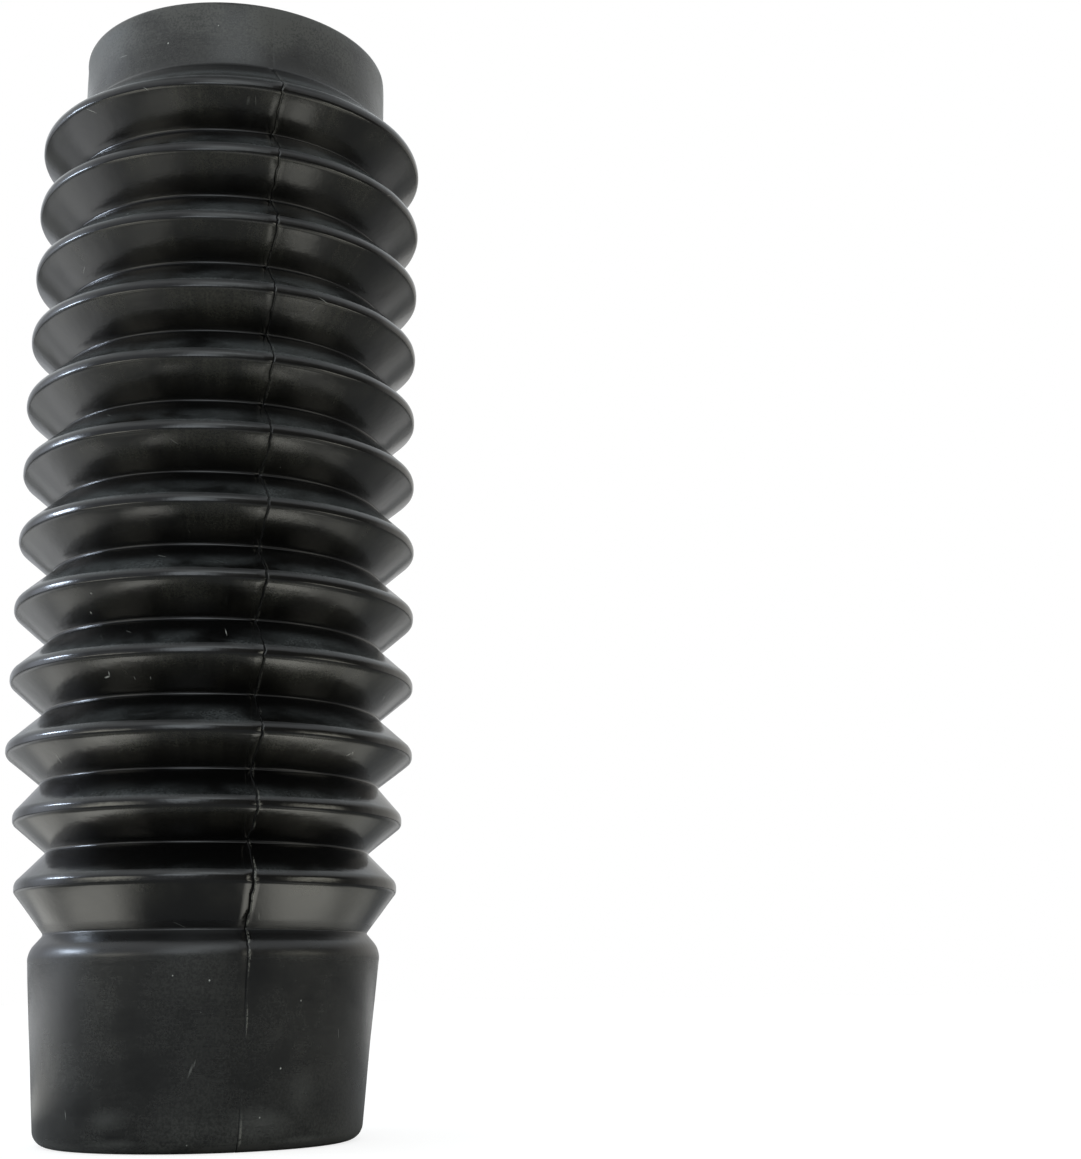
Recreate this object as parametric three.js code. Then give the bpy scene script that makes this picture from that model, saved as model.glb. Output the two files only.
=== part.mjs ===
// A rubber fork gaiter for a motorcycle: a plain collar at the top, a bellows of twelve folds
// and a plain tapered cuff at the foot, moulded in one piece and open right through.
// Lengths are in millimetres. The gaiter stands on its cuff with its axis along +Z, and the
// origin is at the centre of its foot.
import * as THREE from 'three';

// Cuff: the plain tapered tube at the foot
const CUFF_HEIGHT = 31.5;
const CUFF_RADIUS = 30.5;
const FOOT_RADIUS = 27.8;
const CUFF_WALL = 3.2;
const FOOT_ROUND = 2;
const SHOULDER_ROUND = 1.5;

// Neck: the groove between the cuff's shoulder and the lowest fold
const NECK_RISE = 3.5;
const NECK_RADIUS = 28.1;
const NECK_ROUND = 0.4;

// Lower folds: the two smaller ones above the neck, counted from the foot
const LOW_CREST_RADII = [33.4, 34.2];
const LOW_VALLEY_RADIUS = 28.3;
const LOW_PITCH = 11.9;
const NECK_TO_CREST = 8.3;

// Bellows: the ten full folds above them
const FULL_FOLDS = 10;
const CREST_RADIUS = 36;
const VALLEY_RADIUS = 29.7;
const PITCH = 12.78;

// Section of a fold
const FOLD_WALL = 2;
const CREST_LAND = 1.6;
const CREST_TOP_ROUND = 2.2;
const CREST_UNDER_ROUND = 1.3;
const VALLEY_ROUND = 0.35;
// Share of the pitch that lies between a crest and the valley under it
const UNDER_SHARE = 0.52;

// Collar: the plain tube at the top
const COLLAR_RADIUS = 28.8;
const COLLAR_HEIGHT = 12.9;
const COLLAR_WALL = 2.4;
const MOUTH_ROUND = 0.8;

// Facets round the axis
const FACETS = 44;

const rubber = new THREE.MeshStandardMaterial({ color: 0x242423, roughness: 0.5, metalness: 0 });

// A point of the section: distance from the axis, height, and the rounding of its corner,
// drawn as an arc of the given number of steps
function corner(radius, height, round = 0, steps = 0) {
  return { at: new THREE.Vector2(radius, height), round, steps };
}

// Radius and height of each crest, and the radius of the valley under it, from the foot up.
// What lies under the lowest crest is the neck.
function crests() {
  const list = [];
  let height = CUFF_HEIGHT + NECK_RISE + NECK_TO_CREST;
  for (const radius of LOW_CREST_RADII) {
    list.push({ radius, height, valley: LOW_VALLEY_RADIUS });
    height += LOW_PITCH;
  }
  for (let i = 0; i < FULL_FOLDS; i++) {
    list.push({ radius: CREST_RADIUS, height, valley: VALLEY_RADIUS });
    height += PITCH;
  }
  return list;
}

// The two corners of a crest, with a short upright land between them, from the foot up
function crestCorners(crest) {
  return [
    corner(crest.radius, crest.height - CREST_LAND / 2, CREST_UNDER_ROUND, 1),
    corner(crest.radius, crest.height + CREST_LAND / 2, CREST_TOP_ROUND, 2),
  ];
}

// The corner of the valley between a crest and the next one up
function valleyCorner(crest, next) {
  const height = next.height - (next.height - crest.height) * UNDER_SHARE;
  return corner(next.valley, height, VALLEY_ROUND, 1);
}

// The foot of the collar, where the upper flank of the top fold runs into it. The flank keeps
// the slope that the flanks below it have.
function collarRoot(top) {
  const rise = PITCH * (1 - UNDER_SHARE) - CREST_LAND / 2;
  const slope = rise / (CREST_RADIUS - VALLEY_RADIUS);
  const height = top.height + CREST_LAND / 2 + slope * (top.radius - COLLAR_RADIUS);
  return corner(COLLAR_RADIUS, height, VALLEY_ROUND, 1);
}

// Every corner of the outer surface, from the foot up
function outerCorners() {
  const folds = crests();
  const list = [
    corner(FOOT_RADIUS, 0, FOOT_ROUND, 2),
    corner(CUFF_RADIUS, CUFF_HEIGHT, SHOULDER_ROUND, 2),
    corner(NECK_RADIUS, CUFF_HEIGHT + NECK_RISE, NECK_ROUND, 1),
  ];
  folds.forEach((crest, i) => {
    list.push(...crestCorners(crest));
    list.push(i + 1 < folds.length ? valleyCorner(crest, folds[i + 1]) : collarRoot(crest));
  });
  list.push(corner(COLLAR_RADIUS, list.at(-1).at.y + COLLAR_HEIGHT, MOUTH_ROUND, 2));
  return list;
}

// A side of the section moved towards the axis by the wall behind it
function innerSide(from, to, wall) {
  const along = to.clone().sub(from).normalize();
  const shift = new THREE.Vector2(-along.y, along.x).multiplyScalar(wall);
  return { from: from.clone().add(shift), along };
}

// Where two sides meet
function meet(a, b) {
  const gap = b.from.clone().sub(a.from);
  const t = gap.cross(b.along) / a.along.cross(b.along);
  return a.from.clone().addScaledVector(a.along, t);
}

// The height of the section where a side reaches it, as a corner of the bore's end
function endOfBore(side, height) {
  const end = { from: new THREE.Vector2(0, height), along: new THREE.Vector2(1, 0) };
  return meet(side, end);
}

// Every corner of the bore, from the mouth down. It follows the outer surface at the wall's
// thickness, and has one plain corner inside each crest.
function boreCorners(outer) {
  const sides = [];
  const last = outer.length - 2;
  for (let i = 0; i <= last; i++) {
    const from = outer[i].at;
    const to = outer[i + 1].at;
    const isLand = i > 0 && i < last && from.x === to.x;
    const wall = i === 0 ? CUFF_WALL : i === last ? COLLAR_WALL : FOLD_WALL;
    if (!isLand) sides.push(innerSide(from, to, wall));
  }
  const list = [endOfBore(sides[0], outer[0].at.y)];
  for (let i = 1; i < sides.length; i++) list.push(meet(sides[i - 1], sides[i]));
  list.push(endOfBore(sides.at(-1), outer.at(-1).at.y));
  return list.reverse().map((at) => corner(at.x, at.y));
}

// How far a corner's arc may run along the side that it shares with a neighbour
function room(here, neighbour) {
  const share = neighbour.round > 0 ? 0.48 : 0.8;
  return share * here.at.distanceTo(neighbour.at);
}

// Points of a corner's arc, which touches both of its sides
function arcPoints(before, here, after) {
  const { at, round, steps } = here;
  if (steps === 0) return [at];
  const back = before.at.clone().sub(at);
  const ahead = after.at.clone().sub(at);
  const half = back.angleTo(ahead) / 2;
  const run = Math.min(round / Math.tan(half), room(here, before), room(here, after));
  const start = at.clone().addScaledVector(back.normalize(), run);
  const end = at.clone().addScaledVector(ahead.normalize(), run);
  const middle = back.add(ahead).normalize();
  const centre = at.clone().addScaledVector(middle, run / Math.cos(half));
  const sweep = 2 * (Math.PI / 2 - half);
  const turn = Math.sign(start.clone().sub(centre).cross(end.clone().sub(centre))) * sweep;
  const points = [];
  for (let i = 0; i <= steps; i++) points.push(start.clone().rotateAround(centre, (turn * i) / steps));
  return points;
}

// The closed outline of the wall: up the outside and back down the bore
function wallOutline() {
  const outer = outerCorners();
  const ring = [...outer, ...boreCorners(outer)];
  const outline = ring.flatMap((c, i) => {
    const after = ring[(i + 1) % ring.length];
    return arcPoints(ring.at(i - 1), c, after);
  });
  return [...outline, outline[0].clone()];
}

function gaiter() {
  const geometry = new THREE.LatheGeometry(wallOutline(), FACETS);
  geometry.rotateX(Math.PI / 2);
  const mesh = new THREE.Mesh(geometry, rubber);
  mesh.name = 'fork_gaiter';
  return mesh;
}

const part = new THREE.Group();
part.add(gaiter());

export default part;
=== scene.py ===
# A black rubber fork gaiter standing on its cuff: twelve bellows folds between a plain collar
# and a tapered cuff, with the parting line of its mould down two sides.
import math
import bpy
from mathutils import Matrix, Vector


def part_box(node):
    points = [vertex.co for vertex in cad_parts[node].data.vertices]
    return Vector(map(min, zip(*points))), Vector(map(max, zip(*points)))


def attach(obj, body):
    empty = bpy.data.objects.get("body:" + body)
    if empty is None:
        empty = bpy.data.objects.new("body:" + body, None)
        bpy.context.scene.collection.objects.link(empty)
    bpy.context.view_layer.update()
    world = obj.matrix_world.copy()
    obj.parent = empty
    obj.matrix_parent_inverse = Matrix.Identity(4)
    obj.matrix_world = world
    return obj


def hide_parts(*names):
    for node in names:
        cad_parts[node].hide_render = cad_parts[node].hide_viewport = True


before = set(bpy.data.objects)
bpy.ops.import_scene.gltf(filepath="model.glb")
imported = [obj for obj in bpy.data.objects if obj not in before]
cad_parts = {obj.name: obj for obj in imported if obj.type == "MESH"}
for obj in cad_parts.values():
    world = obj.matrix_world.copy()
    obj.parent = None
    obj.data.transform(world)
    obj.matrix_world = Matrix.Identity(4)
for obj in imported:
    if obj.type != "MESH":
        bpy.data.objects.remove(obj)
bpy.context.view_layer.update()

from types import SimpleNamespace

import bmesh
import bpy
from mathutils import Euler, Quaternion, Vector, geometry, noise

MM = 0.001
low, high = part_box("fork_gaiter")

# Section of the wall, in millimetres
HEIGHT = high.z / MM
CREST_RADIUS = high.x / MM
LOW_CREST_RADII = (33.4, 34.2)
VALLEY_RADIUS = 29.7
LOW_VALLEY_RADIUS = 28.3
NECK_RADIUS = 28.1
NECK_HEIGHT = 35.0
CUFF_RADIUS = 30.57
CUFF_HEIGHT = 32.1
FOOT_RADIUS = 27.8
COLLAR_RADIUS = 28.8
PITCH = 12.78
LOW_PITCH = 11.9
NECK_TO_CREST = 8.3
FULL_FOLDS = 10
UNDER_SHARE = 0.52
CREST_LAND = 1.7
# How much lower a crest lies than the middle of its fold
CREST_DROP = 0.35
FOLD_WALL = 2.0
CUFF_WALL = 3.2
COLLAR_WALL = 2.4

# Roundings of the section's corners, each with the number of its segments
FOOT_ROUND = (2.7, 9)
SHOULDER_ROUND = (3.6, 9)
NECK_ROUND = (0.4, 4)
CREST_TOP_ROUND = (1.7, 8)
CREST_UNDER_ROUND = (1.05, 6)
VALLEY_ROUND = (0.35, 4)
ROOT_ROUND = (0.9, 5)
MOUTH_ROUND = (0.8, 5)
BORE_ROUND = (0.9, 3)
RIM_ROUND = (0.25, 2)
# How much of a side its two roundings may take up together
ROUNDED_SHARE = 0.96

# Steps of the spin round the axis, and the longest side that stays undivided
STEPS_ROUND = 150
LONGEST_SPAN = 1.7

# Unevenness of the moulding: size of its waves and how far they reach
SAG = (30.0, 0.5)
DENTS = (6.0, 0.1)
# How far from the foot and the mouth the unevenness starts
HELD_END = 1.5

# How far the mouth leans to the right of the foot
LEAN = 0.8

# The mould parted on a plane through the axis. Edge loops run beside that plane, at these
# offsets from it. The crack follows one of them and widens into those within its side, and
# the flash stands on the two within its own side. Nothing moves beyond the reach.
SEAM_ANGLE = math.radians(23.4)
SEAM_LOOPS = (-0.4, -0.22, -0.1, 0.02, 0.14, 0.26, 0.5)
CRACK_AT = -0.1
CRACK_SIDE = 0.15
FLASH_AT = 0.2
FLASH_SIDE = 0.07
SEAM_REACH = 0.6
# The seam's sideways wander: reach, waves for each millimetre of height, and seed
WANDER = ((0.2, 0.09, 0), (0.24, 0.45, 5), (0.24, 1.3, 9))

# Heights at which the seam changes: it is faint on the middle of the cuff and on the collar,
# and wide open on the lowest fold
FAINT_CUFF = (6, 19)
OPEN_FOLD = (34, 44)
COLLAR_FOOT = 189
# Depth of the crack in these places and elsewhere. It is never less than the least depth, and
# deeper by a factor on a crest, which starts at a distance from its edge.
FAINT_DEPTH = 0.03
OPEN_DEPTH = 0.42
USUAL_DEPTH = 0.3
LEAST_DEPTH = 0.02
CREST_FACTOR = 1.7
CREST_EDGE = 0.8
# How far from the middle of the faint stretch the crack has its usual depth
FADE = 14
# Depth at which the crack's painted shade is fully black, and lift at which the flash looks fully
# torn, its pale colour partly a painted glint
BLACK_DEPTH = 0.2
TORN_LIFT = 0.08

# Hairs, scratches, crumbs and smears of dirt, and painted reflections of the floor low on the cuff
# and along the foot: azimuth, height, turn from level in degrees, length, half the width and
# paleness
MARKS = (
    (-21.6, 76.0, 8, 1.5, 0.12, 1.0),
    (-20.4, 76.45, 65, 0.8, 0.11, 0.9),
    (-31.0, 87.7, 60, 0.45, 0.17, 0.8),
    (-26.6, 90.2, 0, 0.4, 0.15, 0.6),
    (-13.0, 75.6, -80, 0.6, 0.09, 0.4),
    (-8.1, 75.5, 70, 0.6, 0.09, 0.4),
    (13.5, 83.0, 100, 1.8, 0.1, 0.5),
    (-40.0, 63.3, 70, 2.2, 0.08, 0.4),
    (53.0, 64.0, 40, 1.0, 0.12, 0.5),
    (54.0, 64.3, -45, 0.9, 0.1, 0.5),
    (1.0, 27.6, 0, 0.3, 0.15, 0.8),
    (12.1, 26.8, 0, 0.34, 0.17, 1.2),
    (42.0, 23.5, 0, 0.3, 0.15, 0.7),
    (36.2, 12.9, 0, 0.36, 0.18, 1.2),
    (29.9, 5.4, 0, 0.32, 0.16, 1.1),
    (6.6, 1.5, 0, 0.4, 0.14, 0.6),
    (7.2, 12.9, 65, 2.8, 0.3, 0.12),
    (8.4, 14.0, 72, 1.6, 0.14, 0.14),
    (-38.0, 6.0, 100, 1.8, 0.1, 0.3),
    (-14.3, 194.0, 30, 0.45, 0.18, 0.8),
    (4.5, 196.8, 0, 0.3, 0.15, 0.6),
    (15.0, 179.2, 75, 1.4, 0.4, 0.05),
    (17.2, 179.3, 105, 1.5, 0.08, 0.12),
    (-35.8, 180.3, -28, 2.4, 0.07, 0.4),
    (-14.8, 181.1, -35, 1.5, 0.07, 0.25),
    (76.0, 75.8, -25, 2.6, 0.07, 0.25),
    (38.0, 143.0, -20, 2.6, 0.07, 0.3),
    (-20.0, 158.0, 50, 1.2, 0.08, 0.3),
    # These four are painted reflections of the lit floor: two soft pale patches low on the cuff
    # and two pale lines along the foot's rounding
    (-20.4, 5.4, 5, 13.0, 2.2, 0.035),
    (-17.0, 1.6, 0, 13.0, 1.0, 0.05),
    (46.0, 1.6, 0, 16.0, 0.7, 0.05),
    (31.0, 4.6, -6, 17.0, 3.0, 0.045),
    (45.0, 9.0, 10, 9.0, 4.5, 0.03),
)
# A mark is this many times as strong at its centre, so that its middle is even
MARK_STRENGTH = 2.2

# The camera, as the photograph was taken: 0.32 m away, just above the foot, looking up
CAMERA_PLACE = (59.9, -316.95, 23.4)
CAMERA_PITCH = 13.42
CAMERA_ROLL = -0.65
FOCAL_PIXELS = 1756
LONG_SIDE_PIXELS = 1159
SENSOR = 36.0


def corner(radius, height, rounding=None):
    return Vector((radius, 0, height)), rounding


def crests():
    """Radius and height of each crest and the radius of the valley under it, foot first."""
    found = []
    height = NECK_HEIGHT + NECK_TO_CREST
    for radius in LOW_CREST_RADII:
        found.append((radius, height, LOW_VALLEY_RADIUS))
        height += LOW_PITCH
    for _ in range(FULL_FOLDS):
        found.append((CREST_RADIUS, height, VALLEY_RADIUS))
        height += PITCH
    return found


def outer_corners():
    """The corners of the outer surface, foot first."""
    folds = crests()
    corners = [
        corner(FOOT_RADIUS, 0, FOOT_ROUND),
        corner(CUFF_RADIUS, CUFF_HEIGHT, SHOULDER_ROUND),
        corner(NECK_RADIUS, NECK_HEIGHT, NECK_ROUND),
    ]
    for i, (radius, height, _) in enumerate(folds):
        middle = height - CREST_DROP
        corners.append(corner(radius, middle - CREST_LAND / 2, CREST_UNDER_ROUND))
        corners.append(corner(radius, middle + CREST_LAND / 2, CREST_TOP_ROUND))
        if i + 1 < len(folds):
            _, above, valley = folds[i + 1]
            corners.append(corner(valley, above - (above - height) * UNDER_SHARE, VALLEY_ROUND))
    rise = PITCH * (1 - UNDER_SHARE) - CREST_LAND / 2
    slope = rise / (CREST_RADIUS - VALLEY_RADIUS)
    top = folds[-1][1] + CREST_LAND / 2
    corners.append(corner(COLLAR_RADIUS, top + slope * (CREST_RADIUS - COLLAR_RADIUS), ROOT_ROUND))
    corners.append(corner(COLLAR_RADIUS, HEIGHT, MOUTH_ROUND))
    return corners


def meet(a, along_a, b, along_b):
    """Where two lines of the section cross."""
    gap = b - a
    turn = along_a.x * along_b.z - along_a.z * along_b.x
    t = (gap.x * along_b.z - gap.z * along_b.x) / turn
    return a + along_a * t


def bore_corners(outer):
    """The corners of the bore, mouth first, at the wall's thickness behind the outer surface."""
    sides = []
    last = len(outer) - 2
    for i in range(last + 1):
        start, end = outer[i][0], outer[i + 1][0]
        if 0 < i < last and abs(start.x - end.x) < 1e-6:
            continue
        wall = CUFF_WALL if i == 0 else COLLAR_WALL if i == last else FOLD_WALL
        along = (end - start).normalized()
        sides.append((start + Vector((-along.z, 0, along.x)) * wall, along))
    level = Vector((1, 0, 0))
    corners = [corner(*meet(*sides[0], Vector((0, 0, 0)), level).xz, RIM_ROUND)]
    for one, other in zip(sides, sides[1:]):
        corners.append(corner(*meet(*one, *other).xz, BORE_ROUND))
    corners.append(corner(*meet(*sides[-1], Vector((0, 0, HEIGHT)), level).xz, RIM_ROUND))
    return corners[::-1]


def edit(piece):
    bpy.ops.object.select_all(action="DESELECT")
    piece.select_set(True)
    bpy.context.view_layer.objects.active = piece
    bpy.ops.object.mode_set(mode="EDIT")


def done():
    bpy.ops.object.mode_set(mode="OBJECT")


def pick(piece, wanted, kind="verts"):
    """Selects the vertices or edges that a test passes, and nothing else."""
    bpy.ops.mesh.select_all(action="DESELECT")
    mesh = bmesh.from_edit_mesh(piece.data)
    for part in getattr(mesh, kind):
        if wanted(part):
            part.select_set(True)
    mesh.select_flush_mode()
    bmesh.update_edit_mesh(piece.data)


def draw_section(piece, corners):
    """The outline of the wall, drawn corner by corner from one vertex and closed."""
    bpy.ops.mesh.select_all(action="SELECT")
    bpy.ops.mesh.merge(type="CENTER")
    places = [at * MM for at, _ in corners]
    bpy.ops.transform.translate(value=places[0])
    for here, there in zip(places, places[1:]):
        bpy.ops.mesh.extrude_region_move(TRANSFORM_OT_translate={"value": there - here})
    ends = (places[0], places[-1])
    pick(piece, lambda v: min((v.co - end).length for end in ends) < 1e-6)
    bpy.ops.mesh.edge_face_add()


def room(here, neighbour):
    """How far a corner's rounding may run along a side, which it shares by size of rounding."""
    share = here[1][0] / (here[1][0] + neighbour[1][0])
    return ROUNDED_SHARE * share * (here[0] - neighbour[0]).length


def round_corners(piece, corners):
    for i, here in enumerate(corners):
        at, (radius, segments) = here
        before, after = corners[i - 1], corners[(i + 1) % len(corners)]
        run = radius / math.tan((before[0] - at).angle(after[0] - at) / 2)
        run = min(run, room(here, before), room(here, after))
        pick(piece, lambda v: (v.co - at * MM).length < 1e-6)
        bpy.ops.mesh.bevel(
            offset_type="OFFSET", offset=run * MM, segments=segments, affect="VERTICES"
        )


def is_long(edge, outer):
    """Whether an edge is one of the outer surface's sides, or a part of one, and long."""
    if edge.calc_length() < LONGEST_SPAN * MM:
        return False
    middle = (edge.verts[0].co + edge.verts[1].co) / 2
    for (start, _), (end, _) in zip(outer, outer[1:]):
        near, share = geometry.intersect_point_line(middle, start * MM, end * MM)
        if 0 < share < 1 and (middle - near).length < 1e-6:
            return True
    return False


def split_long_sides(piece, outer):
    for _ in range(3):
        pick(piece, lambda edge: is_long(edge, outer), "edges")
        bpy.ops.mesh.subdivide(number_cuts=1)


def ripple(height, pace, seed):
    """A smooth random number from -1 to 1 that changes with height, in millimetres."""
    return noise.noise(Vector((seed, 0.37, height * pace)))


def is_between(height, band):
    return band[0] < height < band[1]


def crack_depth(height, radius, side):
    """Depth of the parting line's crack, which is deeper where it crosses a crest."""
    if height > COLLAR_FOOT or is_between(height, FAINT_CUFF):
        depth = FAINT_DEPTH
    elif is_between(height, OPEN_FOLD):
        depth = OPEN_DEPTH
    else:
        depth = USUAL_DEPTH * min(1.0, abs(height - sum(FAINT_CUFF) / 2) / FADE)
    if radius > CREST_RADIUS - CREST_EDGE:
        depth *= CREST_FACTOR
    return max(LEAST_DEPTH, depth * (1 + 0.8 * ripple(height, 0.31, 3.1 * side)))


def crack_width(height, offset):
    """How far a loop sinks with the crack, as a share. The loops beside it widen it."""
    if abs(offset - CRACK_AT) < 1e-3:
        return 1.0
    if abs(offset - CRACK_AT) > CRACK_SIDE:
        return 0.0
    if is_between(height, (OPEN_FOLD[0] + 0.5, OPEN_FOLD[1] - 0.5)):
        share = 0.6
    elif is_between(height, (FAINT_CUFF[1], COLLAR_FOOT - 1)):
        share = 0.2
    else:
        share = 0.0
    return share * (1 + ripple(height, 1.1, 4.0 + offset))


def flash_lift(height, side):
    """Height of the torn flash beside the crack, which stands up in short lengths."""
    if is_between(height, (FAINT_CUFF[1], OPEN_FOLD[1] + 2)):
        torn = 1.0
    elif is_between(height, FAINT_CUFF) or height > COLLAR_FOOT - 1:
        torn = 0.0
    else:
        torn = 0.4
    short = max(0.0, ripple(height, 0.8, 8.3 * side) + 0.25) * 2.4
    return torn * (0.03 + 0.11 * short)


def cut_seam(piece):
    """Both parting lines: edge loops along them, the crack, the flash and a slight wander."""
    out = Vector((math.sin(SEAM_ANGLE), -math.cos(SEAM_ANGLE), 0))
    across = Vector((math.cos(SEAM_ANGLE), math.sin(SEAM_ANGLE), 0))
    for offset in SEAM_LOOPS:
        bpy.ops.mesh.select_all(action="SELECT")
        bpy.ops.mesh.bisect(plane_co=across * offset * MM, plane_no=across)
    mesh = bmesh.from_edit_mesh(piece.data)
    crack = mesh.verts.layers.float.new("crack")
    flash = mesh.verts.layers.float.new("flash")
    for vertex in mesh.verts:
        offset = vertex.co.dot(across) / MM
        if abs(offset) > SEAM_REACH or not is_outside(vertex):
            continue
        side = 1 if vertex.co.dot(out) > 0 else -1
        height = vertex.co.z / MM
        depth = crack_depth(height, vertex.co.xy.length / MM, side) * crack_width(height, offset)
        # The crack's painted shade: the deeper, the blacker.
        vertex[crack] = min(1.0, depth / BLACK_DEPTH)
        move = vertex.normal * -depth
        if abs(offset - FLASH_AT) < FLASH_SIDE:
            lift = flash_lift(height, side)
            vertex[flash] = min(1.0, lift / TORN_LIFT)
            move += vertex.normal * lift
        wander = sum(reach * ripple(height, pace, side + seed) for reach, pace, seed in WANDER)
        move += across * wander * (1 - (offset / SEAM_REACH) ** 2)
        vertex.co += move * MM
    bmesh.update_edit_mesh(piece.data)


def is_outside(vertex):
    """Whether a vertex is on the outer surface, which faces away from the axis."""
    flat = Vector((vertex.co.x, vertex.co.y, 0))
    return vertex.normal.dot(flat) > 0 or vertex.co.z < MM


def settle(piece):
    """The slight unevenness of moulded rubber, everywhere but at the foot and the mouth."""
    free = piece.vertex_groups.new(name="free")
    held = HELD_END * MM
    for vertex in piece.data.vertices:
        if held < vertex.co.z < high.z - held:
            free.add([vertex.index], 1.0, "REPLACE")
    for name, (size, reach) in (("sag", SAG), ("dents", DENTS)):
        cloud = bpy.data.textures.new(name, "CLOUDS")
        cloud.noise_scale = size * MM
        cloud.noise_depth = 1
        bpy.ops.object.modifier_add(type="DISPLACE")
        uneven = piece.modifiers[-1]
        uneven.texture = cloud
        uneven.texture_coords = "LOCAL"
        uneven.strength = reach * MM
        uneven.vertex_group = free.name
        bpy.ops.object.modifier_apply(modifier=uneven.name)
    piece.vertex_groups.clear()


def lean(piece):
    """The slight lean to the right that grows towards the mouth."""
    for vertex in piece.data.vertices:
        vertex.co.x += LEAN * MM * (vertex.co.z / high.z) ** 2


def make_gaiter():
    bpy.ops.object.select_all(action="DESELECT")
    bpy.ops.mesh.primitive_plane_add(size=MM)
    piece = bpy.context.object
    piece.name = "gaiter_body"
    outer = outer_corners()
    corners = outer + bore_corners(outer)
    edit(piece)
    draw_section(piece, corners)
    round_corners(piece, corners)
    split_long_sides(piece, outer)
    bpy.ops.mesh.select_all(action="SELECT")
    bpy.ops.mesh.spin(steps=STEPS_ROUND, angle=2 * math.pi, center=(0, 0, 0), axis=(0, 0, 1))
    bpy.ops.mesh.select_all(action="SELECT")
    bpy.ops.mesh.remove_doubles(threshold=2e-6)
    bpy.ops.mesh.normals_make_consistent(inside=False)
    cut_seam(piece)
    done()
    settle(piece)
    lean(piece)
    bpy.ops.object.shade_smooth()
    return piece


class Graph:
    """The nodes of a material or group. Each call adds one and returns its output."""

    def __init__(self, tree):
        self.tree = tree

    def add(self, kind, inputs=(), output=0, **settings):
        made = self.tree.nodes.new(kind)
        for name, value in settings.items():
            setattr(made, name, value)
        for name, value in dict(inputs).items():
            if isinstance(value, bpy.types.NodeSocket):
                self.tree.links.new(value, made.inputs[name])
            else:
                made.inputs[name].default_value = value
        return made.outputs[output]

    def math(self, operation, *values):
        return self.add("ShaderNodeMath", enumerate(values), operation=operation)

    def vector(self, operation, *values, output=0):
        return self.add("ShaderNodeVectorMath", enumerate(values), output, operation=operation)

    def times(self, first, *others):
        for other in others:
            first = self.math("MULTIPLY", first, other)
        return first

    def plus(self, first, *others):
        for other in others:
            first = self.math("ADD", first, other)
        return first

    def ramp(self, value, start, end, low=0.0, high=1.0):
        """Goes smoothly from low to high while the value goes from start to end."""
        inputs = {"Value": value, "To Min": low, "To Max": high}
        if start < end:
            inputs |= {"From Min": start, "From Max": end}
        else:
            inputs |= {"From Min": end, "From Max": start, "To Min": high, "To Max": low}
        return self.add("ShaderNodeMapRange", inputs, interpolation_type="SMOOTHSTEP")

    def split(self, vector):
        made = self.tree.nodes.new("ShaderNodeSeparateXYZ")
        self.tree.links.new(vector, made.inputs[0])
        return made.outputs

    def join(self, x, y, z):
        return self.add("ShaderNodeCombineXYZ", enumerate((x, y, z)))

    def scaled(self, vector, factor):
        inputs = {"Vector": vector, "Scale": factor}
        return self.add("ShaderNodeVectorMath", inputs, operation="SCALE")

    def noise(self, vector, size, detail=2.0, roughness=0.5, distortion=0.0):
        """Noise from 0 to 1 with spots of about a size, in the vector's unit."""
        inputs = {"Vector": vector, "Scale": 1 / size, "Detail": detail}
        inputs |= {"Roughness": roughness, "Distortion": distortion}
        return self.add("ShaderNodeTexNoise", inputs)

    def blend(self, factor, first, second):
        inputs = {"Factor": factor, 6: first, 7: second}
        return self.add("ShaderNodeMix", inputs, output=2, data_type="RGBA")


def draw_marks(g, arc, height):
    """The marks of the table: each is a long thin spot on the unrolled surface."""
    unrolled = g.join(arc, height, 0.0)
    total = 0.0
    for azimuth, at, turn, length, half_width, tone in MARKS:
        inputs = {
            "Vector": unrolled,
            "Location": (math.radians(azimuth) * CREST_RADIUS, at, 0),
            "Rotation": (0, 0, math.radians(turn)),
            "Scale": (length / 2, half_width, 1),
        }
        local = g.add("ShaderNodeMapping", inputs, vector_type="TEXTURE")
        spot = g.add("ShaderNodeTexGradient", {0: local}, output=1, gradient_type="SPHERICAL")
        total = g.math("MULTIPLY_ADD", spot, MARK_STRENGTH * tone, total)
    return total


def draw_scratches(g, place, size, share, length, width):
    """Fine straight scratches: a share of the cells of a pattern holds one each."""
    cells = g.tree.nodes.new("ShaderNodeTexVoronoi")
    g.tree.links.new(place, cells.inputs["Vector"])
    cells.inputs["Scale"].default_value = 1 / size
    away = g.vector("SUBTRACT", place, cells.outputs["Position"])
    across = g.vector("NORMALIZE", g.vector("SUBTRACT", cells.outputs["Color"], (0.5, 0.5, 0.5)))
    aside = g.math("ABSOLUTE", g.vector("DOT_PRODUCT", away, across, output=1))
    beyond = g.vector("LENGTH", away, output=1)
    thin = g.times(g.ramp(aside, width, 0.4 * width), g.ramp(beyond, length / 2, length / 3))
    red = g.split(cells.outputs["Color"])[0]
    return g.times(thin, g.math("GREATER_THAN", g.math("FRACT", g.times(red, 7.0)), 1 - share))


def draw_specks(g, place, size, share, reach):
    """Pale specks of dust: a share of the cells of a pattern holds one each."""
    cells = g.tree.nodes.new("ShaderNodeTexVoronoi")
    g.tree.links.new(place, cells.inputs["Vector"])
    cells.inputs["Scale"].default_value = 1 / size
    red, green, blue = g.split(cells.outputs["Color"])[:3]
    spread = g.math("DIVIDE", cells.outputs["Distance"], g.ramp(green, 0, 1, 0.4, 1.0))
    near = g.ramp(spread, reach / size, 0.5 * reach / size)
    return g.times(near, g.math("GREATER_THAN", red, 1 - share), g.ramp(blue, 0, 1, 0.15, 1.0))
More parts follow.
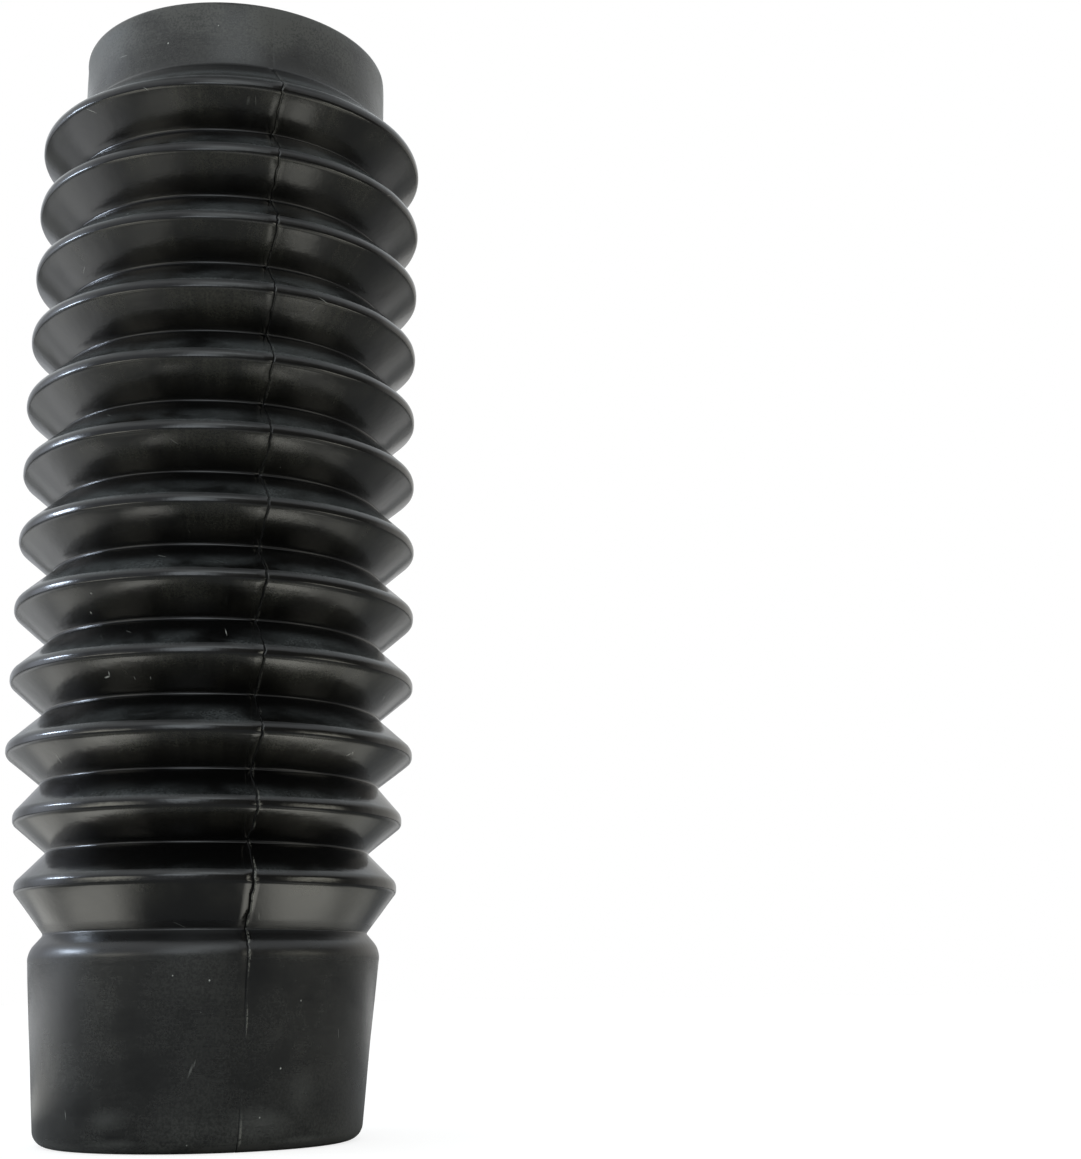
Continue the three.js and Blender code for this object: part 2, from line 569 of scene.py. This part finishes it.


# Colours of the rubber, of what lies on it, and of the light and shade painted on it
BARE_RUBBER = (0.001, 0.001, 0.001, 1)
FILM_AND_CEILING_SHEEN = (0.05, 0.055, 0.0555, 1)
# Grey of the film on the upper flanks: partly real smears, partly a painted reflection of the
# ceiling
DUST_AND_FLOOR_BOUNCE = (0.042, 0.041, 0.032, 1)
# Warm dust under the crests: partly real, partly painted bounce light from the floor
HAZE_AND_FOOT_GLOW = (0.05, 0.051, 0.046, 1)
# Haze on the cuff and the collar, with a painted reflection of the floor low on the cuff
PALE_MARK = (0.42, 0.43, 0.4, 1)
# Pale torn flash, partly a painted glint on its raised edge
TORN_FLASH_AND_GLINT = (0.2, 0.2, 0.175, 1)
# Painted shade in the crack
CRACK_SHADE = (0.0008, 0.0008, 0.0008, 1)


def measure_surface(g):
    """Where a point of the rubber is, in millimetres, and how far it faces up."""
    texture = g.tree.nodes.new("ShaderNodeTexCoord")
    at = SimpleNamespace()
    at.place = g.scaled(texture.outputs["Object"], 1 / MM)
    x, y, at.height = g.split(at.place)[:3]
    at.facing = g.split(texture.outputs["Normal"])[2]
    flat = g.join(x, y, 0.0)
    at.radius = g.vector("LENGTH", flat, output=1)
    at.way_x, at.way_y = g.split(g.scaled(g.vector("NORMALIZE", flat), CREST_RADIUS))[:2]
    at.arc = g.times(g.math("ARCTAN2", x, g.times(y, -1.0)), CREST_RADIUS)
    return at


def find_zones(g, at):
    """How far a point belongs to each part of the gaiter, from 0 to 1."""
    zone = SimpleNamespace()
    zone.crest = g.ramp(at.radius, 30.4, 35.4)
    zone.upper = g.ramp(at.facing, 0.2, 0.6)
    zone.lower = g.ramp(at.facing, -0.2, -0.6)
    below_collar = g.ramp(at.height, COLLAR_FOOT + 1, COLLAR_FOOT - 0.5)
    zone.folds = g.times(g.ramp(at.height, 31.0, 35.0), below_collar)
    collar = g.ramp(at.height, COLLAR_FOOT - 0.5, COLLAR_FOOT + 1)
    zone.plain = g.plus(g.ramp(at.height, 32.0, 30.5), collar)
    zone.neck = g.times(g.ramp(at.height, 29.5, 31.5), g.ramp(at.height, 37.0, 36.0))
    return zone


def lay_patterns(g, at):
    """Noise for the dirt and the painted light, the sheen and the relief. Smears, streaks and
    rings are drawn out along the surface: streaks run up and down it, and rings run round it."""
    smear_way = g.join(g.times(at.way_x, 0.4), g.times(at.way_y, 0.4), at.height)
    streak_way = g.join(at.way_x, at.way_y, g.times(at.height, 0.05))
    ring_way = g.join(g.times(at.way_x, 0.06), g.times(at.way_y, 0.06), at.height)
    return SimpleNamespace(
        blotch=g.noise(at.place, 17, 3, 0.55, 0.3),
        cloud=g.noise(at.place, 10, 2.5, 0.5),
        smear=g.noise(smear_way, 5, 3, 0.55, 0.4),
        dent=g.noise(at.place, 2.4, 3, 0.55),
        streaks=g.ramp(g.noise(streak_way, 1.5, 2, 0.6), 0.3, 0.8),
        rings=g.noise(ring_way, 0.5, 2, 0.7),
        grain=g.noise(at.place, 0.42, 2, 0.7),
    )


def gather_dirt_and_painted_light(g, at, zone, pattern):
    """A grey film on the upper flanks towards the crests, most of it on the top fold, which is
    partly real smears and partly a painted reflection of the ceiling; warm dust under the crests,
    which is partly painted bounce light from the floor; and a thin haze on the cuff and the
    collar, with a painted reflection of the floor low on the cuff and on the foot. The film and
    the dust are left dark towards the valleys as painted shade."""
    top_fold = g.ramp(at.height, 183.5, 185.5, 0, 0.45)
    smeared = g.ramp(g.plus(pattern.blotch, pattern.smear, top_fold), 0.72, 1.3)
    # Painted light: the grey film is partly real smears and partly a painted reflection of the
    # ceiling. It is paler towards the crests, and the flanks are left dark towards the valleys as
    # painted shade.
    film_and_sheen = g.times(zone.upper, g.ramp(zone.crest, 0.1, 0.95), zone.folds, smeared)

    clouded = g.ramp(pattern.cloud, 0.3, 0.72, 0.2, 1.0)
    # Painted light: the warm dust under the crests is partly real and partly painted bounce light
    # from the floor. It is paler towards the crests, with painted shade towards the valleys, and
    # there is a little less of it towards the top.
    dust_and_bounce = g.times(zone.lower, g.ramp(at.radius, 28.5, 35.0), clouded, zone.folds)
    streaked = g.plus(0.75, g.times(pattern.streaks, 0.5))
    dust_and_bounce = g.times(dust_and_bounce, streaked, g.ramp(at.height, 90, 160, 1.0, 0.9))

    patchy = g.plus(pattern.cloud, g.times(pattern.blotch, 0.8), g.times(pattern.rings, 0.3))
    # Painted reflection of the lit floor: the haze is paler low on the cuff and on the foot's
    # rounding.
    painted_foot_glow = g.plus(g.ramp(at.height, 7, 2, 0.0, 0.5), g.ramp(at.height, 2.4, 0.6, 0.0, 2.2))
    near_mouth = g.ramp(at.height, COLLAR_FOOT, HEIGHT, 0.0, 2.0)
    haze_and_glow = g.times(zone.plain, g.ramp(patchy, 0.62, 1.4), g.plus(0.62, near_mouth, painted_foot_glow))
    return SimpleNamespace(film_and_sheen=film_and_sheen, dust_and_bounce=dust_and_bounce, haze_and_glow=haze_and_glow)


def colour_dirt_and_painted_light(g, pattern, dirt_and_painted_light):
    """Bare rubber under its film, dust and haze, with their painted reflections and painted shade,
    all of them grainy.
    """
    speckle = g.ramp(pattern.grain, 0.3, 0.7, 0.65, 1.4)
    faint_speckle = g.ramp(pattern.grain, 0.3, 0.7, 0.25, 0.95)
    colour = g.blend(g.times(dirt_and_painted_light.film_and_sheen, speckle), BARE_RUBBER, FILM_AND_CEILING_SHEEN)
    colour = g.blend(g.times(dirt_and_painted_light.dust_and_bounce, speckle, 0.6), colour, DUST_AND_FLOOR_BOUNCE)
    return g.blend(g.times(dirt_and_painted_light.haze_and_glow, faint_speckle), colour, HAZE_AND_FOOT_GLOW)


def gather_marks(g, at):
    """The marks of the table, with loose specks and fine scratches all over."""
    large_specks = draw_specks(g, at.place, 4.5, 0.06, 0.16)
    small_specks = draw_specks(g, at.place, 1.7, 0.035, 0.09)
    specks = g.times(g.plus(large_specks, small_specks), 0.8)
    scratches = g.times(draw_scratches(g, at.place, 7, 0.14, 2.4, 0.045), 0.3)
    return g.math("MINIMUM", g.plus(draw_marks(g, at.arc, at.height), specks, scratches), 1.0)


def rubber():
    """Black moulded rubber with its dirt and marks, with painted light and shade on its flanks and
    low on its cuff, and with its parting line: painted black shade in the crack, and pale on the
    torn flash, partly as a painted glint."""
    material = bpy.data.materials.new("black_rubber")
    material.use_nodes = True
    tree = material.node_tree
    shader = tree.nodes["Principled BSDF"]
    g = Graph(tree)
    at = measure_surface(g)
    zone = find_zones(g, at)
    pattern = lay_patterns(g, at)
    dirt_and_painted_light = gather_dirt_and_painted_light(g, at, zone, pattern)
    marks = gather_marks(g, at)

    flash = g.add("ShaderNodeAttribute", attribute_name="flash", output=2)
    patchy = g.times(g.ramp(pattern.grain, 0.35, 0.55), g.ramp(at.height, 70, 40, 0.25))
    # The pale torn flash is partly a painted glint where the raised flash catches light.
    torn = g.times(g.ramp(flash, 0.3, 0.8), patchy, 0.6)
    crack = g.add("ShaderNodeAttribute", attribute_name="crack", output=2)
    # Painted shade: the rubber is coloured black where the crack is deep.
    split = g.ramp(crack, 0.25, 0.7)
    colour = g.blend(marks, colour_dirt_and_painted_light(g, pattern, dirt_and_painted_light), PALE_MARK)
    colour = g.blend(torn, colour, TORN_FLASH_AND_GLINT)
    colour = g.blend(split, colour, CRACK_SHADE)
    tree.links.new(colour, shader.inputs["Base Color"])

    dull = g.plus(0.16, g.times(dirt_and_painted_light.film_and_sheen, 0.1), g.times(dirt_and_painted_light.dust_and_bounce, 0.08), g.times(dirt_and_painted_light.haze_and_glow, 0.1))
    dull = g.plus(dull, g.times(zone.plain, 0.06), g.times(zone.neck, 0.13))
    dull = g.plus(dull, g.times(g.math("SUBTRACT", pattern.blotch, 0.5), 0.12))
    dull = g.math("MAXIMUM", dull, g.times(g.math("MAXIMUM", marks, split), 0.75))
    tree.links.new(dull, shader.inputs["Roughness"])

    fine = g.plus(g.times(pattern.grain, 0.008), g.times(pattern.rings, 0.006))
    relief = g.plus(g.times(pattern.dent, 0.036), fine)
    bump = g.add("ShaderNodeBump", {"Height": relief, "Distance": MM, "Strength": 1.0})
    tree.links.new(bump, shader.inputs["Normal"])
    return material


FLOOR_COLOUR = (0.3, 0.299, 0.293, 1)
# What lifts the floor to white for the camera
FLOOR_GLOW = 0.78
FLOOR_SIZE = 60


def pale_floor():
    """Pale to the light, and lifted to white where the camera sees it."""
    material = bpy.data.materials.new("pale_floor")
    material.use_nodes = True
    tree = material.node_tree
    shader = tree.nodes["Principled BSDF"]
    shader.inputs["Base Color"].default_value = FLOOR_COLOUR
    shader.inputs["Roughness"].default_value = 0.9
    shader.inputs["Specular IOR Level"].default_value = 0.1
    g = Graph(tree)
    seen = g.add("ShaderNodeLightPath")
    glow = g.add("ShaderNodeEmission", {"Strength": g.times(seen, FLOOR_GLOW)})
    both = g.add("ShaderNodeAddShader", {0: shader.outputs[0], 1: glow})
    tree.links.new(both, tree.nodes["Material Output"].inputs["Surface"])
    return material


def make_floor():
    bpy.ops.object.select_all(action="DESELECT")
    bpy.ops.mesh.primitive_plane_add(size=FLOOR_SIZE, location=(0, 0, 0))
    floor = bpy.context.object
    floor.name = "floor"
    floor.data.materials.append(pale_floor())


# Light of the walls at the left and the right, of the wall behind, and of the ceiling at the
# left and the right, with the share of it that is left straight above
WALLS = (0.62, 0.14)
WALL_BEHIND = 0.72
CEILING = (1.2, 1.04)
STRAIGHT_ABOVE = 0.4
LEFT_TINT = (0.94, 0.98, 1.04, 1)
RIGHT_TINT = (1.02, 1.0, 0.94, 1)
CEILING_TINT = (0.955, 0.995, 1.02, 1)


def make_world():
    """White to the camera. To the object it is a pale ceiling over dimmer walls."""
    world = bpy.data.worlds.new("light_tent")
    bpy.context.scene.world = world
    world.use_nodes = True
    tree = world.node_tree
    tree.nodes.clear()
    g = Graph(tree)
    x, y, z = g.split(g.add("ShaderNodeTexCoord"))[:3]
    behind = g.ramp(y, 0.1, 0.7)
    sides = g.times(g.ramp(x, -0.9, 0.9, *WALLS), g.math("SUBTRACT", 1.0, behind))
    walls = g.plus(sides, g.times(behind, WALL_BEHIND))
    over = g.ramp(z, 0.28, 0.6)
    above = g.ramp(z, 0.76, 0.93, 1.0, STRAIGHT_ABOVE)
    ceiling = g.times(over, g.ramp(x, -0.6, 0.6, *CEILING), above)
    light = g.plus(g.times(walls, g.math("SUBTRACT", 1.0, over)), ceiling)
    tint = g.blend(g.ramp(x, -0.7, 0.7), LEFT_TINT, RIGHT_TINT)
    tint = g.blend(over, tint, CEILING_TINT)
    tent = g.add("ShaderNodeBackground", {"Color": tint, "Strength": light})
    backdrop = g.add("ShaderNodeBackground", {"Color": (1, 1, 1, 1), "Strength": 1.0})
    seen = g.add("ShaderNodeLightPath")
    both = g.add("ShaderNodeMixShader", {0: seen, 1: tent, 2: backdrop})
    end = tree.nodes.new("ShaderNodeOutputWorld")
    tree.links.new(both, end.inputs["Surface"])


# Lamps: bearing from the camera's side round to the right, elevation, distance in metres,
# width, height, radiance and colour. The middle of the gaiter is their aim.
LAMPS = {
    "window": (-98, 15, 0.9, 0.42, 0.1, 60.0, (0.72, 0.84, 1.0)),
    "window_wall": (-104, 12, 1.0, 1.1, 1.0, 1.4, (0.8, 0.87, 1.0)),
    "left_low": (-60, -2, 0.45, 0.46, 0.1, 4.0, (1.0, 0.98, 0.84)),
    "right_low": (62, -2, 0.45, 0.42, 0.1, 3.4, (1.0, 0.98, 0.84)),
    "front_panel": (-16, 12, 0.9, 0.66, 0.42, 3.0, (0.86, 0.94, 1.0)),
    "front_glow": (-2, 29, 0.9, 0.9, 0.5, 1.5, (0.9, 0.98, 1.0)),
}
# Reflector boards that lie over the floor round the gaiter: bearing and distance of the
# centre, reach away from the foot, width, spread in degrees, radiance and colour
BOARDS = {
    "left_near": (-73, 0.056, 0.054, 0.092, 140, 1.85, (1.0, 0.99, 0.91)),
    "left_back": (-122, 0.1, 0.13, 0.15, 175, 1.2, (1.0, 0.99, 0.93)),
    "right_near": (54, 0.056, 0.05, 0.09, 140, 1.9, (1.0, 0.99, 0.9)),
    "left_mid": (-62, 0.13, 0.1, 0.13, 145, 0.5, (1.0, 0.99, 0.9)),
    "right_mid": (52, 0.12, 0.09, 0.1, 145, 1.3, (1.0, 0.99, 0.9)),
    "right_back": (98, 0.08, 0.1, 0.12, 160, 0.8, (1.0, 0.99, 0.9)),
    "left_front": (-55, 0.5, 0.68, 0.55, 145, 3.4, (1.0, 0.98, 0.86)),
    "right_front": (50, 0.48, 0.68, 0.46, 145, 2.6, (1.0, 0.98, 0.86)),
    "front": (8, 0.4, 0.44, 0.34, 145, 1.2, (1.0, 0.99, 0.94)),
    "left_far": (-112, 0.3, 0.46, 0.46, 180, 1.3, (0.97, 0.98, 0.99)),
    "back_left": (-150, 0.6, 0.95, 0.8, 180, 0.65, (0.98, 0.99, 1.0)),
    "back_right": (146, 0.5, 0.8, 0.6, 180, 0.6, (1.0, 0.99, 0.97)),
}
# Each board lies a step above the one before it, so that none hides another
BOARD_LIFT = 1.0
BOARD_STEP = 0.3
# Which way the camera's side lies from the gaiter
FACING = math.radians(10.7)


def add_lamp(name, place, turn, width, height, radiance, colour):
    """An area lamp that fades out from its middle to its edges, and that no camera sees."""
    bpy.ops.object.light_add(type="AREA", location=place)
    lamp = bpy.context.object
    lamp.name = name
    lamp.rotation_euler = turn.to_euler()
    lamp.data.shape = "RECTANGLE"
    lamp.data.size = width
    lamp.data.size_y = height
    lamp.data.energy = radiance * math.pi * width * height
    lamp.data.color = colour
    lamp.visible_camera = False
    lamp.data.use_nodes = True
    tree = lamp.data.node_tree
    g = Graph(tree)
    place_on_lamp = g.add("ShaderNodeNewGeometry", output="Parametric")
    off = g.vector("DISTANCE", place_on_lamp, (0.5, 0.5, 0.0), output=1)
    tree.links.new(g.ramp(off, 0.5, 0.1), tree.nodes["Emission"].inputs["Strength"])
    return lamp


def compass(bearing, elevation=0.0):
    """The direction at a bearing from the camera's side, as seen from the gaiter."""
    turn = math.radians(bearing) + FACING
    rise = math.radians(elevation)
    return Vector(
        (math.sin(turn) * math.cos(rise), -math.cos(turn) * math.cos(rise), math.sin(rise))
    )


def make_lamps():
    aim = Vector((0, 0, high.z / 2))
    for name, (bearing, elevation, distance, *rest) in LAMPS.items():
        away = compass(bearing, elevation)
        add_lamp(name, aim + away * distance, away.to_track_quat("Z", "Y"), *rest)
    for i, (name, (bearing, distance, reach, width, spread, *rest)) in enumerate(BOARDS.items()):
        away = compass(bearing)
        lying = away.to_track_quat("Y", "Z") @ Quaternion((0, 1, 0), math.pi)
        place = away * distance + Vector((0, 0, (BOARD_LIFT + BOARD_STEP * i) * MM))
        board = add_lamp(name, place, lying, width, reach, *rest)
        board.data.spread = math.radians(spread)


def make_camera():
    bpy.ops.object.camera_add(location=Vector(CAMERA_PLACE) * MM)
    camera = bpy.context.object
    pitch = Euler((math.radians(90 + CAMERA_PITCH), 0, 0)).to_matrix()
    roll = Euler((0, 0, math.radians(CAMERA_ROLL))).to_matrix()
    camera.rotation_euler = (pitch @ roll).to_euler()
    camera.data.sensor_width = SENSOR
    camera.data.lens = FOCAL_PIXELS / LONG_SIDE_PIXELS * SENSOR
    camera.data.clip_start = 0.01
    bpy.context.scene.camera = camera


make_camera()
gaiter = make_gaiter()
gaiter.data.materials.clear()
gaiter.data.materials.append(rubber())
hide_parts("fork_gaiter")
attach(gaiter, "root")
make_floor()
make_world()
make_lamps()
bpy.context.scene.view_settings.view_transform = "Standard"
